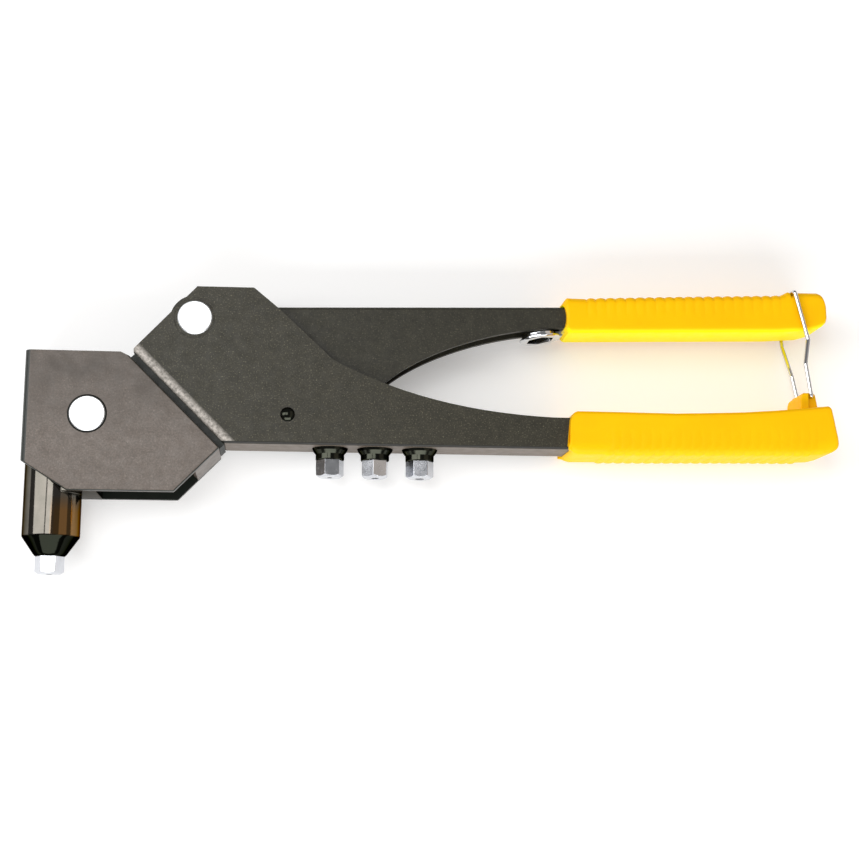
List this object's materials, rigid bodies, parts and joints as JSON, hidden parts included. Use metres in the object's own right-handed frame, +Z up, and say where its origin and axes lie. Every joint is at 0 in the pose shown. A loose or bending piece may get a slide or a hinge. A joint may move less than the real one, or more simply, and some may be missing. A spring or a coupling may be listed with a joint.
{
  "type": "hand riveter",
  "caption": "Swivel-head hand riveter with two gripped handles, a nose for blind rivets, spare nosepieces, a spanner and a wire bail that locks the handles.",
  "frame": {"origin": "middle of the footprint of the tool lying on its side, on the surface it lies on", "axes": "+X from the head towards the handles' ends, +Y from the nose's end towards the upper handle, +Z up, across the tool"},
  "size_m": [0.2762, 0.1016, 0.0246],
  "materials": {
    "grey_steel": "satin",
    "lever_steel": "satin",
    "black_steel": "gloss",
    "zinc_steel": "satin",
    "pin_steel": "satin",
    "spring_steel": "satin",
    "chrome_wire": "polished",
    "yellow_rubber": "satin"
  },
  "bodies": {
    "frame": {"main_frame": "grey_steel", "main_pivot_pin": "pin_steel", "stop_pin": "zinc_steel", "lower_grip": "yellow_rubber", "swivel_bolt": "zinc_steel", "swivel_nut": "zinc_steel", "swivel_washer": "zinc_steel", "return_spring": "spring_steel", "storage_bush_1": "black_steel", "storage_bush_2": "black_steel", "storage_bush_3": "black_steel"},
    "lever": {"lever_handle": "lever_steel", "upper_grip": "yellow_rubber", "toe_pin": "zinc_steel"},
    "roller": {"toe_roller": "zinc_steel"},
    "rod": {"push_rod": "zinc_steel"},
    "head": {"head_housing": "grey_steel", "head_pivot_pin": "pin_steel", "nose_tube": "black_steel"},
    "crank": {"bell_crank": "black_steel"},
    "case": {"jaw_case": "black_steel", "jaw_spring": "spring_steel"},
    "left_jaw_body": {"left_jaw": "zinc_steel"},
    "right_jaw_body": {"right_jaw": "zinc_steel"},
    "pusher": {"jaw_pusher": "zinc_steel"},
    "fitted_nose": {"fitted_nosepiece": "zinc_steel"},
    "spare_1": {"spare_nosepiece_1": "zinc_steel"},
    "spare_2": {"spare_nosepiece_2": "zinc_steel"},
    "spare_3": {"spare_nosepiece_3": "zinc_steel"},
    "bail": {"lock_bail": "chrome_wire"},
    "spanner_body": {"spanner": "chrome_wire"}
  },
  "joints": [
    {"name": "lever_pivot", "type": "hinge", "parent": "frame", "child": "lever", "pos_m": [-0.08363, 0.03497, 0.012], "axis": [0, 0, -1], "range_deg": [-38, 1.2]},
    {"name": "roller_spin", "type": "hinge", "parent": "lever", "child": "roller", "pos_m": [-0.07617, 0.0197, 0.012], "axis": [0, 0, -1], "continuous": true},
    {"name": "rod_slide", "type": "slide", "parent": "frame", "child": "rod", "axis": [-0.7071, -0.7071, 0], "range_m": [-0.01095, 0.00035], "deforming": ["return_spring"]},
    {"name": "head_swivel", "type": "hinge", "parent": "frame", "child": "head", "pos_m": [-0.08879, 0.00648, 0.012], "axis": [0.7071, 0.7071, 0], "continuous": true},
    {"name": "crank_pivot", "type": "hinge", "parent": "head", "child": "crank", "pos_m": [-0.11722, 0.00077, 0.012], "axis": [0, 0, -1], "range_deg": [-38.75, 1.25]},
    {"name": "case_slide", "type": "slide", "parent": "head", "child": "case", "axis": [0, 1, 0], "range_m": [-0.0078, 0.00026]},
    {"name": "left_jaw_slide", "type": "slide", "parent": "case", "child": "left_jaw_body", "axis": [-0.1772, 0.9842, 0], "range_m": [-0.00006, 0.00141]},
    {"name": "right_jaw_slide", "type": "slide", "parent": "case", "child": "right_jaw_body", "axis": [0.1772, 0.9842, 0], "range_m": [-0.00006, 0.00141]},
    {"name": "pusher_slide", "type": "slide", "parent": "case", "child": "pusher", "axis": [0, 1, 0], "range_m": [-0.00006, 0.00139], "deforming": ["jaw_spring"]},
    {"name": "fitted_nose_unscrew", "type": "slide", "parent": "head", "child": "fitted_nose", "axis": [0, -1, 0], "range_m": [0, 0.008]},
    {"name": "spare_1_unscrew", "type": "slide", "parent": "frame", "child": "spare_1", "axis": [0, -1, 0], "range_m": [0, 0.008]},
    {"name": "spare_2_unscrew", "type": "slide", "parent": "frame", "child": "spare_2", "axis": [0, -1, 0], "range_m": [0, 0.008]},
    {"name": "spare_3_unscrew", "type": "slide", "parent": "frame", "child": "spare_3", "axis": [0, -1, 0], "range_m": [0, 0.008]},
    {"name": "bail_pivot", "type": "hinge", "parent": "frame", "child": "bail", "pos_m": [0.12998, 0.01298, 0.012], "axis": [0, 0, -1], "range_deg": [0, 104]},
    {"name": "spanner_slide", "type": "slide", "parent": "lever", "child": "spanner_body", "axis": [-0.9903, -0.1392, 0], "range_m": [0, 0.012]}
  ],
  "couplings": [
    {"joint": "rod_slide", "follows": "lever_pivot", "m_per_rad": 0.0165},
    {"joint": "crank_pivot", "follows": "lever_pivot", "ratio": 1.0185},
    {"joint": "case_slide", "follows": "lever_pivot", "m_per_rad": 0.0117},
    {"joint": "left_jaw_slide", "follows": "lever_pivot", "m_per_rad": -0.00211},
    {"joint": "right_jaw_slide", "follows": "lever_pivot", "m_per_rad": -0.00211},
    {"joint": "pusher_slide", "follows": "lever_pivot", "m_per_rad": -0.00208}
  ]
}
